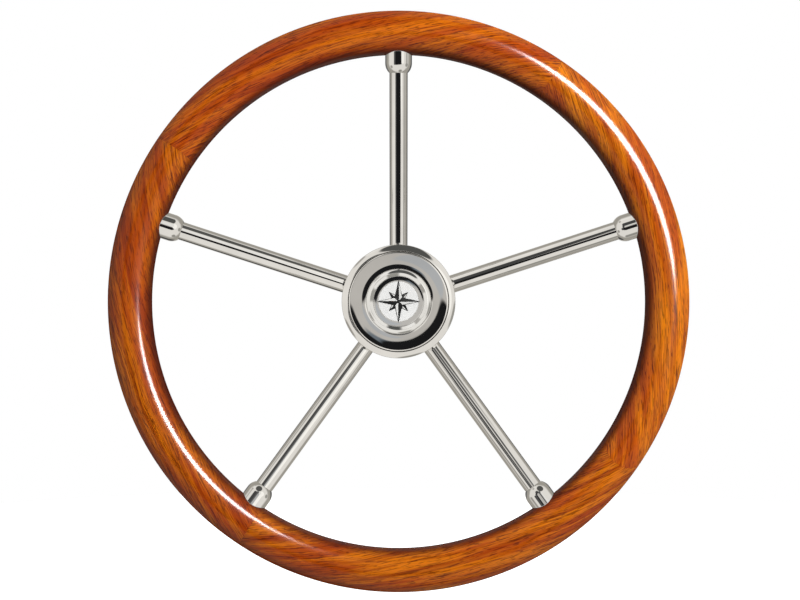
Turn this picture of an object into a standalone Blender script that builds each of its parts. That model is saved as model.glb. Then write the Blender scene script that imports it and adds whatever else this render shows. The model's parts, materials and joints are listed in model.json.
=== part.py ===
"""Ship steering wheel: a wooden rim on five tubular steel spokes, keyed to its helm shaft.

Everything is modelled in a bench frame, as if the wheel lay on its back: the shaft's axis
is Z, the front faces +Z and the first spoke points along +Y. Three empties carry the
fixed bearing, the wheel and the cap, and a turn of 90 degrees about X stands them up, so
that in the world the shaft's axis is Y, the front faces -Y and the first spoke points up.
The origin is the point on the shaft's axis where the five spoke axes meet.

Dimensions are in millimetres and angles in degrees. The helpers turn them into metres
and radians.
"""

import math

import bmesh
import bpy
from mathutils import Matrix, Vector

MM = 0.001
INCH = 25.4
GAP = 0.3  # clearance between pieces that touch or slide on each other
OVERCUT = 2.0  # how far a cutter runs past the face it opens

# Rim: four wooden segments, glued end to end.
WHEEL_DIAMETER = 400.0
RIM_SECTION = 30.0
RIM_RADIUS = (WHEEL_DIAMETER - RIM_SECTION) / 2
RIM_JOINTS = ((34.0, 6.0), (123.0, 38.0), (213.0, 6.0), (304.0, 6.0))  # clock angle, scarf tilt
RIM_STEPS = 80
RIM_SECTION_STEPS = 16

# Spokes: half-inch tubes that lean forward out of the hub, so the wheel is dished.
SPOKE_COUNT = 5
SPOKE_TILT = 11.0
SPOKE_RADIUS = INCH / 4
SPOKE_WALL = 1.5
SPOKE_ROOT = 22.4  # along the spoke's axis from the origin
SPOKE_STEPS = 16

# Places along a spoke's axis, measured from the origin.
RIM_CENTRE = RIM_RADIUS / math.cos(math.radians(SPOKE_TILT))
RIM_FACE = RIM_CENTRE - RIM_SECTION / 2
RIM_HEIGHT = RIM_RADIUS * math.tan(math.radians(SPOKE_TILT))

# Ferrules: cups between the spoke tubes and the rim, and the studs that hold the rim.
FERRULE_RADIUS = 9.3
FERRULE_SHOULDER = RIM_FACE - 5.5
FERRULE_SEAT = FERRULE_SHOULDER - 1.5
FERRULE_LIP = 0.4
STUD_RADIUS = 3.0
STUD_START = FERRULE_SEAT - 7.0
STUD_END = RIM_CENTRE - 2.5
STUD_STEPS = 12

# Hub body.
HUB_RADIUS = 40.0
HUB_SIDE_RADIUS = 38.5
HUB_LIP_WIDTH = 4.5
HUB_LIP_TOP = 20.95
HUB_LIP_SLOPES = (17.0, 39.0)  # of the lip's round shoulder where it starts and ends, in degrees
HUB_LIP_EDGE = 0.7  # radius of its outer edge
HUB_FLOOR = 15.5
HUB_LIP_UNDERSIDE = 14.7
HUB_SIDE_BOTTOM = -3.0
BOSS_RADIUS = 17.5
BOSS_BACK = -23.0
NUT_CAVITY_RADIUS = 18.5
NUT_SEAT = 3.0
HUB_STEPS = 32

# Cover ring, set in the hub's lip.
COVER_FRONT = 21.6
COVER_ROLL_START = 26.4  # inside this radius the face rolls down to the cap
COVER_ROLL_SLOPE = 9.5  # where the roll meets the hole, in degrees
COVER_CROWN_START = 27.5
COVER_CROWN_SLOPE = 5.5  # where the crown meets the outer edge, in degrees
COVER_EDGE = 1.5  # radius of the outer edge
COVER_EDGE_SLOPE = 70.0

# Centre cap, its seal and its emblem.
CAP_RADIUS = 22.5
CAP_CREST = 23.4
CAP_CREST_RADIUS = 20.0
CAP_SHOULDER_SLOPES = (18.0, 58.0)  # outside the crest and at the edge, in degrees
CAP_RECESS_RADIUS = 17.9
CAP_RECESS_FLOOR = 20.4
CAP_RECESS_DEPTH = 1.2
CAP_WALL = 2.9
SPIGOT_RADIUS = NUT_CAVITY_RADIUS - GAP
SPIGOT_BORE_RADIUS = 14.5
SPIGOT_END = 9.0
SEAL_HEIGHT = 12.0
SEAL_RADIUS = 17.3
SEAL_SECTION = 1.6
SEAL_SECTION_STEPS = 6
DISC_THICKNESS = 0.6
ROSE_THICKNESS = 0.4
ROSE_GAP = 0.1
ROSE_LONG_POINT = 15.2
ROSE_SHORT_POINT = ROSE_LONG_POINT * 5 / 8
ROSE_LONG_WAIST = ROSE_LONG_POINT / 4
ROSE_SHORT_WAIST = ROSE_LONG_POINT / 4

# Helm shaft: three-quarter-inch with a 1 in 12 taper, a square key and a half-inch thread.
SHAFT_RADIUS = 0.75 * INCH / 2
SHAFT_TAPER = 1 / 12
THREAD_RADIUS = INCH / 4
THREAD_END = 14.6
COLLAR_RADIUS = 11.0
COLLAR_TOP = BOSS_BACK - 2 * GAP
COLLAR_THICKNESS = 2.4
COLLAR_BOTTOM = COLLAR_TOP - COLLAR_THICKNESS
GROOVE_RADIUS = 8.9
KEY_SIDE = 3 / 16 * INCH
KEY_LENGTH = 19.0
KEY_MIDDLE = -11.0
KEY_CENTRE_RADIUS = 9.0
NUT_ACROSS_FLATS = 0.75 * INCH
NUT_HEIGHT = 8.0
WASHER_RADIUS = 12.0
WASHER_THICKNESS = 1.5
SMALL_STEPS = 24

# Helm bearing: the fixed flange that the shaft turns in.
FLANGE_BACK = -(RIM_HEIGHT + RIM_SECTION / 2)
FLANGE_RADIUS = 29.0
FLANGE_THICKNESS = 6.0
FLANGE_FRONT = FLANGE_BACK + FLANGE_THICKNESS
FLANGE_RECESS_RADIUS = 15.0
SHAFT_END_DEPTH = 2.2  # how far the shaft's end lies inside the flange's back
SLEEVE_RADIUS = 17.0
SLEEVE_FILLET = 4.0
BUSH_RADIUS = 12.0
BUSH_FLANGE_RADIUS = 15.0
BUSH_FLANGE_THICKNESS = 1.5
SCREW_CIRCLE_RADIUS = 23.0
SCREW_COUNT = 4
SCREW_HOLE_RADIUS = 2.75
COUNTERSINK_RADIUS = 5.2
CIRCLIP_RADIUS = 12.4
CIRCLIP_THICKNESS = 1.2
CIRCLIP_MOUTH = 7.0


def clear_scene():
    for obj in list(bpy.data.objects):
        bpy.data.objects.remove(obj, do_unlink=True)


def new_collection(name):
    collection = bpy.data.collections.new(name)
    bpy.context.scene.collection.children.link(collection)
    return collection


def new_empty(name, parent=None):
    empty = bpy.data.objects.new(name, None)
    empty.empty_display_size = 30 * MM
    PARTS.objects.link(empty)
    if parent:
        empty.parent = parent
    else:
        empty.rotation_euler.x = math.radians(90)
    return empty


def new_material(name, colour, roughness, metallic):
    material = bpy.data.materials.new(name)
    material.use_nodes = True
    shader = material.node_tree.nodes["Principled BSDF"]
    shader.inputs["Base Color"].default_value = (*colour, 1.0)
    shader.inputs["Roughness"].default_value = roughness
    shader.inputs["Metallic"].default_value = metallic
    material.diffuse_color = (*colour, 1.0)
    return material


def shade(mesh):
    mesh.shade_smooth()
    mesh.set_sharp_from_angle(angle=math.radians(35))


def place(obj, parent, matrix):
    obj.parent = parent
    obj.matrix_local = matrix
    return obj


def new_part(name, mesh, look, parent, matrix=None):
    """A piece of the wheel: its own object with its own material."""
    obj = bpy.data.objects.new(name, mesh)
    PARTS.objects.link(obj)
    material = new_material(name, *look)
    if not mesh.materials:
        mesh.materials.append(material)
    obj.material_slots[0].link = "OBJECT"
    obj.material_slots[0].material = material
    return place(obj, parent, matrix or Matrix.Identity(4))


def new_cutter(name, mesh, parent, matrix=None):
    obj = bpy.data.objects.new(name, mesh)
    CUTTERS.objects.link(obj)
    obj.hide_render = True
    obj.display_type = "WIRE"
    return place(obj, parent, matrix or Matrix.Identity(4))


def boolean(obj, cutter, operation="DIFFERENCE"):
    modifier = obj.modifiers.new(cutter.name, "BOOLEAN")
    modifier.object = cutter
    modifier.operation = operation
    modifier.solver = "EXACT"


def evaluated_mesh(obj):
    """The object's mesh with its modifiers applied. The object itself is removed."""
    bpy.context.view_layer.update()
    graph = bpy.context.evaluated_depsgraph_get()
    mesh = bpy.data.meshes.new_from_object(obj.evaluated_get(graph))
    mesh.name = obj.name
    bpy.data.objects.remove(obj, do_unlink=True)
    return mesh


def turned_mesh(name, outline, steps, closed=True):
    """A body turned about Z from (radius, height) points that run down its outer side.

    A closed outline makes a ring. An open one starts and ends on the axis.
    """
    profile = bpy.data.meshes.new(name)
    edges = [(i, i + 1) for i in range(len(outline) - 1)]
    if closed:
        edges.append((len(outline) - 1, 0))
    profile.from_pydata([(radius * MM, 0.0, height * MM) for radius, height in outline], edges, [])
    obj = bpy.data.objects.new(name, profile)
    bpy.context.scene.collection.objects.link(obj)
    screw = obj.modifiers.new("Turn", "SCREW")
    screw.axis = "Z"
    screw.steps = steps
    screw.render_steps = steps
    screw.use_merge_vertices = True
    screw.merge_threshold = 0.00001
    mesh = evaluated_mesh(obj)
    shade(mesh)
    return mesh


def ring_mesh(name, radius, section, steps, section_steps):
    bpy.ops.mesh.primitive_torus_add(
        major_radius=radius * MM,
        minor_radius=section / 2 * MM,
        major_segments=steps,
        minor_segments=section_steps,
    )
    obj = bpy.context.object
    obj.name = name
    mesh = evaluated_mesh(obj)
    shade(mesh)
    return mesh


def rod_mesh(name, radius, start, end, steps):
    """A cylinder, or a prism of few sides, on the Z axis."""
    shape = bmesh.new()
    bmesh.ops.create_cone(
        shape,
        cap_ends=True,
        segments=steps,
        radius1=radius * MM,
        radius2=radius * MM,
        depth=(end - start) * MM,
        matrix=Matrix.Translation((0, 0, (start + end) / 2 * MM)),
    )
    return finished_mesh(name, shape)


def block_mesh(name, size):
    shape = bmesh.new()
    bmesh.ops.create_cube(shape, size=1.0, matrix=Matrix.Diagonal((*(Vector(size) * MM), 1.0)))
    return finished_mesh(name, shape)


def finished_mesh(name, shape):
    mesh = bpy.data.meshes.new(name)
    shape.to_mesh(mesh)
    shape.free()
    shade(mesh)
    return mesh


def arc(centre, radius, start, end, steps):
    """Points on an arc of the outline, from angle start to angle end, both included."""
    turns = [math.radians(start + (end - start) * i / steps) for i in range(steps + 1)]
    return [(centre[0] + radius * math.cos(t), centre[1] + radius * math.sin(t)) for t in turns]


def at(*place_mm):
    return Matrix.Translation(Vector(place_mm) * MM)


def clock_direction(angle):
    """The direction at this angle, clockwise from the first spoke as the helmsman sees it."""
    turn = math.radians(angle)
    return Vector((math.sin(turn), math.cos(turn), 0.0))


def spoke_matrix(number):
    """Puts a piece's Z axis along this spoke's axis, outwards from the origin."""
    tilt = math.radians(SPOKE_TILT)
    flat = clock_direction(360 / SPOKE_COUNT * number)
    along = flat * math.cos(tilt) + Vector((0, 0, math.sin(tilt)))
    across = flat.cross(Vector((0, 0, 1))).normalized()
    return Matrix((across, along.cross(across), along)).transposed().to_4x4()


def joint_cutter(name, angle, scarf_tilt, side):
    """A block on one side of a rim joint: side 1 is clockwise of it, side -1 the other."""
    size = 1.25 * WHEEL_DIAMETER
    tilt = math.radians(scarf_tilt)
    radial = clock_direction(angle)
    normal = clock_direction(angle + 90) * math.cos(tilt) - Vector((0, 0, math.sin(tilt)))
    turn = Matrix((normal, radial, normal.cross(radial))).transposed().to_4x4()
    centre = Vector((0, 0, RIM_HEIGHT)) + normal * side * (size / 2 - GAP / 2)
    return new_cutter(name, block_mesh(name, (size, size, size)), WHEEL, at(*centre) @ turn)


def shaft_radius(height):
    """The shaft's radius on its taper, which starts at the hub's back."""
    return SHAFT_RADIUS - (height - BOSS_BACK) * SHAFT_TAPER / 2


def make_rim():
    ring = ring_mesh("rim_ring", RIM_RADIUS, RIM_SECTION, RIM_STEPS, RIM_SECTION_STEPS)
    holes = []
    for spoke in range(SPOKE_COUNT):
        name = f"stud_hole_{spoke + 1}"
        start = RIM_FACE - OVERCUT
        mesh = rod_mesh(name, STUD_RADIUS + GAP, start, STUD_END + GAP, STUD_STEPS)
        holes.append(new_cutter(name, mesh, WHEEL, spoke_matrix(spoke)))
    for number, (start, start_tilt) in enumerate(RIM_JOINTS):
        end, end_tilt = RIM_JOINTS[(number + 1) % len(RIM_JOINTS)]
        name = f"rim_segment_{number + 1}"
        segment = new_part(name, ring, WOOD, WHEEL, at(0, 0, RIM_HEIGHT))
        boolean(segment, joint_cutter(f"{name}_start", start, start_tilt, -1))
        boolean(segment, joint_cutter(f"{name}_end", end, end_tilt, 1))
        for spoke, hole in enumerate(holes):
            if (360 / SPOKE_COUNT * spoke - start) % 360 < (end - start) % 360:
                boolean(segment, hole)


def ferrule_outline():
    """A cup about the spoke's axis: round shoulder, socket for the tube, hole for the stud."""
    socket = SPOKE_RADIUS + GAP
    lip_angle = -math.degrees(math.acos((socket + FERRULE_LIP) / FERRULE_RADIUS))
    shoulder = arc((0, FERRULE_SHOULDER), FERRULE_RADIUS, 0, lip_angle, 4)
    top = RIM_FACE + RIM_SECTION / 4
    return [
        (STUD_RADIUS + GAP, top),
        (FERRULE_RADIUS, top),
        *shoulder,
        (socket, shoulder[-1][1]),
        (socket, FERRULE_SEAT),
        (STUD_RADIUS + GAP, FERRULE_SEAT),
    ]


def tube_outline():
    inside = SPOKE_RADIUS - SPOKE_WALL
    end = FERRULE_SEAT - GAP
    return [(inside, end), (SPOKE_RADIUS, end), (SPOKE_RADIUS, SPOKE_ROOT), (inside, SPOKE_ROOT)]


def stud_outline():
    chamfer = 0.8
    return [
        (0, STUD_END),
        (STUD_RADIUS - chamfer, STUD_END),
        (STUD_RADIUS, STUD_END - chamfer),
        (STUD_RADIUS, STUD_START + chamfer),
        (STUD_RADIUS - chamfer, STUD_START),
        (0, STUD_START),
    ]


def make_spokes():
    tube = turned_mesh("spoke_tube", tube_outline(), SPOKE_STEPS)
    ferrule = turned_mesh("ferrule_cup", ferrule_outline(), SPOKE_STEPS)
    stud = turned_mesh("stud", stud_outline(), STUD_STEPS, closed=False)
    clearance = ring_mesh(
        "rim_clearance", RIM_RADIUS, RIM_SECTION + 2 * GAP, RIM_STEPS, RIM_SECTION_STEPS
    )
    saddle = new_cutter("rim_clearance", clearance, WHEEL, at(0, 0, RIM_HEIGHT))
    for number in range(SPOKE_COUNT):
        matrix = spoke_matrix(number)
        new_part(f"spoke_{number + 1}", tube, POLISHED_STEEL, WHEEL, matrix)
        cup = new_part(f"spoke_ferrule_{number + 1}", ferrule, POLISHED_STEEL, WHEEL, matrix)
        boolean(cup, saddle)
        new_part(f"rim_stud_{number + 1}", stud, PLAIN_STEEL, WHEEL, matrix)


def shoulder_arc(start, end_radius, slopes, steps):
    """A round shoulder from this point outwards, between two slopes in degrees."""
    first, last = (math.radians(slope) for slope in slopes)
    bend = (end_radius - start[0]) / (math.sin(last) - math.sin(first))
    centre = (start[0] - bend * math.sin(first), start[1] - bend * math.cos(first))
    return arc(centre, bend, 90 - slopes[0], 90 - slopes[1], steps)


def hub_outline():
    """The hub body: front lip, side wall, back boss, tapered bore and nut cavity."""
    lip_inside = HUB_RADIUS - HUB_LIP_WIDTH
    edge_start = HUB_RADIUS - HUB_LIP_EDGE * (1 - math.sin(math.radians(HUB_LIP_SLOPES[1])))
    shoulder = shoulder_arc((lip_inside, HUB_LIP_TOP), edge_start, HUB_LIP_SLOPES, 4)
    lip_edge = shoulder_arc(shoulder[-1], HUB_RADIUS, (HUB_LIP_SLOPES[1], 90.0), 2)
    side_chamfer = 1.5
    boss_fillet = 11.0
    boss_chamfer = 1.0
    fillet_centre = (BOSS_RADIUS + boss_fillet, HUB_SIDE_BOTTOM - boss_fillet)
    return [
        (lip_inside, HUB_FLOOR),
        *shoulder,
        *lip_edge[1:],
        (HUB_RADIUS, HUB_LIP_UNDERSIDE),
        (HUB_SIDE_RADIUS, HUB_LIP_UNDERSIDE),
        (HUB_SIDE_RADIUS, HUB_SIDE_BOTTOM + side_chamfer),
        (HUB_SIDE_RADIUS - side_chamfer, HUB_SIDE_BOTTOM),
        *arc(fillet_centre, boss_fillet, 90, 180, 4),
        (BOSS_RADIUS, BOSS_BACK + boss_chamfer),
        (BOSS_RADIUS - boss_chamfer, BOSS_BACK),
        (shaft_radius(BOSS_BACK) + GAP, BOSS_BACK),
        (shaft_radius(NUT_SEAT) + GAP, NUT_SEAT),
        (NUT_CAVITY_RADIUS, NUT_SEAT),
        (NUT_CAVITY_RADIUS, HUB_FLOOR),
    ]


def cover_outline():
    """The ring round the cap: it rolls down to the cap inside and is crowned towards the lip."""
    hole = CAP_RADIUS + GAP
    edge = HUB_RADIUS - HUB_LIP_WIDTH - GAP
    low, high = (math.sin(math.radians(slope)) for slope in (COVER_CROWN_SLOPE, COVER_EDGE_SLOPE))
    crown_end = edge - COVER_EDGE * (high - low)
    roll = shoulder_arc((COVER_ROLL_START, COVER_FRONT), hole, (0.0, -COVER_ROLL_SLOPE), 2)
    crown = shoulder_arc((COVER_CROWN_START, COVER_FRONT), crown_end, (0.0, COVER_CROWN_SLOPE), 3)
    rounding = shoulder_arc(crown[-1], edge, (COVER_CROWN_SLOPE, COVER_EDGE_SLOPE), 3)
    return [
        *reversed(roll),
        *crown,
        *rounding[1:],
        (edge, HUB_FLOOR + GAP),
        (hole, HUB_FLOOR + GAP),
    ]


def key_slot(name, low, high, outermost):
    """A cutter for a keyway, from the key's bottom face out to a radius."""
    innermost = KEY_CENTRE_RADIUS - KEY_SIDE / 2 - GAP
    mesh = block_mesh(name, (KEY_SIDE + 2 * GAP, outermost - innermost, high - low))
    return new_cutter(name, mesh, WHEEL, at(0, (innermost + outermost) / 2, (low + high) / 2))


def make_hub():
    body = new_part("hub_body", turned_mesh("hub_body", hub_outline(), HUB_STEPS), POLISHED_STEEL, WHEEL)
    mouth = HUB_RADIUS + 5 * OVERCUT
    socket = rod_mesh("spoke_socket", SPOKE_RADIUS + GAP, SPOKE_ROOT - GAP, mouth, SPOKE_STEPS)
    for number in range(SPOKE_COUNT):
        boolean(body, new_cutter(f"spoke_socket_{number + 1}", socket, WHEEL, spoke_matrix(number)))
    key_top = KEY_CENTRE_RADIUS + KEY_SIDE / 2 + GAP
    key_end = KEY_MIDDLE + KEY_LENGTH / 2 + GAP
    boolean(body, key_slot("hub_keyway", BOSS_BACK - OVERCUT, key_end, key_top))

    cover = turned_mesh("hub_cover", cover_outline(), HUB_STEPS)
    new_part("hub_cover", cover, POLISHED_STEEL, WHEEL)


def cap_outline():
    """The cap: emblem recess, bevel, crest, shoulder, flange, and a spigot with a seal groove."""
    groove = SEAL_SECTION / 2 + GAP
    spigot_chamfer = 0.5
    recess_top = CAP_RECESS_FLOOR + CAP_RECESS_DEPTH
    return [
        (0, CAP_RECESS_FLOOR),
        (CAP_RECESS_RADIUS, CAP_RECESS_FLOOR),
        (CAP_RECESS_RADIUS, recess_top),
        *shoulder_arc((CAP_CREST_RADIUS, CAP_CREST), CAP_RADIUS, CAP_SHOULDER_SLOPES, 4),
        (CAP_RADIUS, HUB_FLOOR + GAP),
        (SPIGOT_RADIUS, HUB_FLOOR + GAP),
        (SPIGOT_RADIUS, SEAL_HEIGHT + groove),
        (SEAL_RADIUS - groove, SEAL_HEIGHT + groove),
        (SEAL_RADIUS - groove, SEAL_HEIGHT - groove),
        (SPIGOT_RADIUS, SEAL_HEIGHT - groove),
        (SPIGOT_RADIUS, SPIGOT_END + spigot_chamfer),
        (SPIGOT_RADIUS - spigot_chamfer, SPIGOT_END),
        (SPIGOT_BORE_RADIUS, SPIGOT_END),
        (SPIGOT_BORE_RADIUS, CAP_RECESS_FLOOR - CAP_WALL),
        (0, CAP_RECESS_FLOOR - CAP_WALL),
    ]


def star_crossing(tip, waist, other_tip, other_waist):
    """Where the edge of a four-point star crosses that of a second one turned by 45 degrees.

    The first star's edge runs from its tip at 0 degrees to its waist at 45 degrees, and the
    second star's from its waist at 0 degrees to its tip at 45 degrees.
    """
    diagonal = math.sqrt(0.5)
    start = Vector((tip, 0))
    run = Vector((waist, waist)) * diagonal - start
    other_start = Vector((other_waist, 0))
    other_run = Vector((other_tip, other_tip)) * diagonal - other_start
    between = other_start - start
    # Vector.cross of two 2D vectors is the number that is zero when they are parallel.
    crossing = start + run * (between.cross(other_run) / run.cross(other_run))
    return crossing.length, math.degrees(math.atan2(crossing.y, crossing.x))


def rose_outline():
    """An eight-point compass rose: a long four-point star over a short one turned by 45 degrees."""
    radius, angle = star_crossing(ROSE_LONG_POINT, ROSE_LONG_WAIST, ROSE_SHORT_POINT, ROSE_SHORT_WAIST)
    points = []
    for quarter in range(4):
        base = 90 * quarter
        points.append(clock_direction(base) * ROSE_LONG_POINT)
        points.append(clock_direction(base + angle) * radius)
        points.append(clock_direction(base + 45) * ROSE_SHORT_POINT)
        points.append(clock_direction(base + 90 - angle) * radius)
    return points


def plate_mesh(name, outline, thickness):
    """A flat plate from an outline: a filled 2D curve, extruded both ways and welded."""
    curve = bpy.data.curves.new(name, "CURVE")
    curve.dimensions = "2D"
    curve.fill_mode = "BOTH"
    curve.extrude = thickness / 2 * MM
    spline = curve.splines.new("POLY")
    spline.points.add(len(outline) - 1)
    for point, corner in zip(spline.points, outline):
        point.co = (corner.x * MM, corner.y * MM, 0, 1)
    spline.use_cyclic_u = True
    obj = bpy.data.objects.new(name, curve)
    bpy.context.scene.collection.objects.link(obj)
    mesh = evaluated_mesh(obj)
    shape = bmesh.new()
    shape.from_mesh(mesh)
    bmesh.ops.remove_doubles(shape, verts=shape.verts, dist=0.00001)
    shape.to_mesh(mesh)
    shape.free()
    return mesh


def make_cap():
    cap = turned_mesh("centre_cap", cap_outline(), HUB_STEPS, closed=False)
    new_part("centre_cap", cap, CHROME, CAP)
    seal = ring_mesh("cap_seal", SEAL_RADIUS, SEAL_SECTION, SMALL_STEPS, SEAL_SECTION_STEPS)
    new_part("cap_seal", seal, RUBBER, CAP, at(0, 0, SEAL_HEIGHT))
    disc_bottom = CAP_RECESS_FLOOR + ROSE_GAP
    disc_top = disc_bottom + DISC_THICKNESS
    disc = rod_mesh("emblem_disc", CAP_RECESS_RADIUS - GAP, disc_bottom, disc_top, HUB_STEPS)
    new_part("emblem_disc", disc, SATIN_METAL, CAP)
    rose = plate_mesh("compass_rose", rose_outline(), ROSE_THICKNESS)
    new_part("compass_rose", rose, BLACK, CAP, at(0, 0, disc_top + ROSE_GAP + ROSE_THICKNESS / 2))


def shaft_outline():
    chamfer = 0.8
    groove_top = FLANGE_FRONT - GAP
    groove_bottom = groove_top - CIRCLIP_THICKNESS - 2 * GAP
    end = FLANGE_BACK + SHAFT_END_DEPTH
    return [
        (0, THREAD_END),
        (THREAD_RADIUS - chamfer, THREAD_END),
        (THREAD_RADIUS, THREAD_END - chamfer),
        (THREAD_RADIUS, NUT_SEAT - GAP),
        (shaft_radius(NUT_SEAT - GAP), NUT_SEAT - GAP),
        (SHAFT_RADIUS, BOSS_BACK),
        (SHAFT_RADIUS, COLLAR_TOP),
        (COLLAR_RADIUS, COLLAR_TOP),
        (COLLAR_RADIUS, COLLAR_BOTTOM),
        (SHAFT_RADIUS, COLLAR_BOTTOM),
        (SHAFT_RADIUS, groove_top),
        (GROOVE_RADIUS, groove_top),
        (GROOVE_RADIUS, groove_bottom),
        (SHAFT_RADIUS, groove_bottom),
        (SHAFT_RADIUS, end + chamfer),
        (SHAFT_RADIUS - chamfer, end),
        (0, end),
    ]


def make_shaft():
    mesh = turned_mesh("helm_shaft", shaft_outline(), SMALL_STEPS, closed=False)
    shaft = new_part("helm_shaft", mesh, PLAIN_STEEL, WHEEL)
    key_low = KEY_MIDDLE - KEY_LENGTH / 2
    key_high = KEY_MIDDLE + KEY_LENGTH / 2
    boolean(shaft, key_slot("shaft_keyway", key_low - GAP, key_high + GAP, SHAFT_RADIUS + OVERCUT))
    key = block_mesh("shaft_key", (KEY_SIDE, KEY_SIDE, KEY_LENGTH))
    new_part("shaft_key", key, PLAIN_STEEL, WHEEL, at(0, KEY_CENTRE_RADIUS, KEY_MIDDLE))

    hole = THREAD_RADIUS + GAP
    low = NUT_SEAT + GAP
    high = low + WASHER_THICKNESS
    outline = [(hole, high), (WASHER_RADIUS, high), (WASHER_RADIUS, low), (hole, low)]
    new_part("nut_washer", turned_mesh("nut_washer", outline, SMALL_STEPS), PLAIN_STEEL, WHEEL)

    corner = NUT_ACROSS_FLATS / math.sqrt(3)
    chamfer = corner - NUT_ACROSS_FLATS / 2 + 0.4
    blank_radius = corner + 0.1
    low = high + GAP
    high = low + NUT_HEIGHT
    outline = [
        (hole, high),
        (corner - chamfer, high),
        (blank_radius, high - chamfer / 2),
        (blank_radius, low),
        (hole, low),
    ]
    nut = new_part("shaft_nut", turned_mesh("shaft_nut", outline, SMALL_STEPS), PLAIN_STEEL, WHEEL)
    hexagon = rod_mesh("nut_hexagon", corner, low - OVERCUT, high + OVERCUT, 6)
    boolean(nut, new_cutter("nut_hexagon", hexagon, WHEEL), "INTERSECT")

    high = FLANGE_FRONT - 2 * GAP
    low = high - CIRCLIP_THICKNESS
    inside = GROOVE_RADIUS + GAP
    outline = [(inside, high), (CIRCLIP_RADIUS, high), (CIRCLIP_RADIUS, low), (inside, low)]
    ring = turned_mesh("shaft_circlip", outline, SMALL_STEPS)
    circlip = new_part("shaft_circlip", ring, PLAIN_STEEL, WHEEL)
    mouth = block_mesh("circlip_mouth", (CIRCLIP_MOUTH, CIRCLIP_RADIUS, 3 * CIRCLIP_THICKNESS))
    boolean(circlip, new_cutter("circlip_mouth", mouth, WHEEL, at(0, -CIRCLIP_RADIUS, low)))


def make_bearing():
    bush_bore = SHAFT_RADIUS + GAP
    bush_top = COLLAR_BOTTOM - GAP
    under_flange = bush_top - BUSH_FLANGE_THICKNESS
    bush_outline = [
        (bush_bore, bush_top),
        (BUSH_FLANGE_RADIUS, bush_top),
        (BUSH_FLANGE_RADIUS, under_flange),
        (BUSH_RADIUS, under_flange),
        (BUSH_RADIUS, FLANGE_FRONT),
        (bush_bore, FLANGE_FRONT),
    ]
    bush = turned_mesh("bearing_bush", bush_outline, SMALL_STEPS)
    new_part("bearing_bush", bush, BRONZE, BEARING)

    sleeve_top = under_flange - GAP
    bore = BUSH_RADIUS + GAP
    fillet_centre = (SLEEVE_RADIUS + SLEEVE_FILLET, FLANGE_FRONT + SLEEVE_FILLET)
    flange_outline = [
        (bore, sleeve_top),
        (SLEEVE_RADIUS, sleeve_top),
        *arc(fillet_centre, SLEEVE_FILLET, 180, 270, 4),
        (FLANGE_RADIUS - 1, FLANGE_FRONT),
        (FLANGE_RADIUS, FLANGE_FRONT - 1),
        (FLANGE_RADIUS, FLANGE_BACK),
        (FLANGE_RECESS_RADIUS, FLANGE_BACK),
        (FLANGE_RECESS_RADIUS, FLANGE_FRONT),
        (bore, FLANGE_FRONT),
    ]
    mesh = turned_mesh("bearing_flange", flange_outline, HUB_STEPS)
    flange = new_part("bearing_flange", mesh, PLAIN_STEEL, BEARING)
    sink_depth = COUNTERSINK_RADIUS - SCREW_HOLE_RADIUS
    hole_outline = [
        (0, OVERCUT),
        (COUNTERSINK_RADIUS, OVERCUT),
        (COUNTERSINK_RADIUS, 0),
        (SCREW_HOLE_RADIUS, -sink_depth),
        (SCREW_HOLE_RADIUS, -FLANGE_THICKNESS - OVERCUT),
        (0, -FLANGE_THICKNESS - OVERCUT),
    ]
    hole = turned_mesh("screw_hole", hole_outline, STUD_STEPS, closed=False)
    for number in range(SCREW_COUNT):
        centre = clock_direction(360 / SCREW_COUNT * (number + 0.5)) * SCREW_CIRCLE_RADIUS
        name = f"screw_hole_{number + 1}"
        boolean(flange, new_cutter(name, hole, BEARING, at(centre.x, centre.y, FLANGE_FRONT)))


# Looks: colour, roughness, metallic.
WOOD = ((0.42, 0.13, 0.035), 0.25, 0.0)
POLISHED_STEEL = ((0.78, 0.78, 0.77), 0.08, 1.0)
PLAIN_STEEL = ((0.55, 0.55, 0.55), 0.35, 1.0)
CHROME = ((0.82, 0.82, 0.83), 0.05, 1.0)
SATIN_METAL = ((0.75, 0.75, 0.74), 0.3, 1.0)
RUBBER = ((0.02, 0.02, 0.02), 0.7, 0.0)
BRONZE = ((0.55, 0.36, 0.14), 0.35, 1.0)
BLACK = ((0.01, 0.01, 0.01), 0.4, 0.0)

clear_scene()
PARTS = new_collection("ship_steering_wheel")
CUTTERS = new_collection("cutters")
BEARING = new_empty("bearing_fixed")
WHEEL = new_empty("wheel_pivot")
CAP = new_empty("cap_slide", parent=WHEEL)

make_rim()
make_spokes()
make_hub()
make_cap()
make_shaft()
make_bearing()
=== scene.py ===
import json
import math

import bmesh
import bpy
from mathutils import Matrix, Vector

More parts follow.
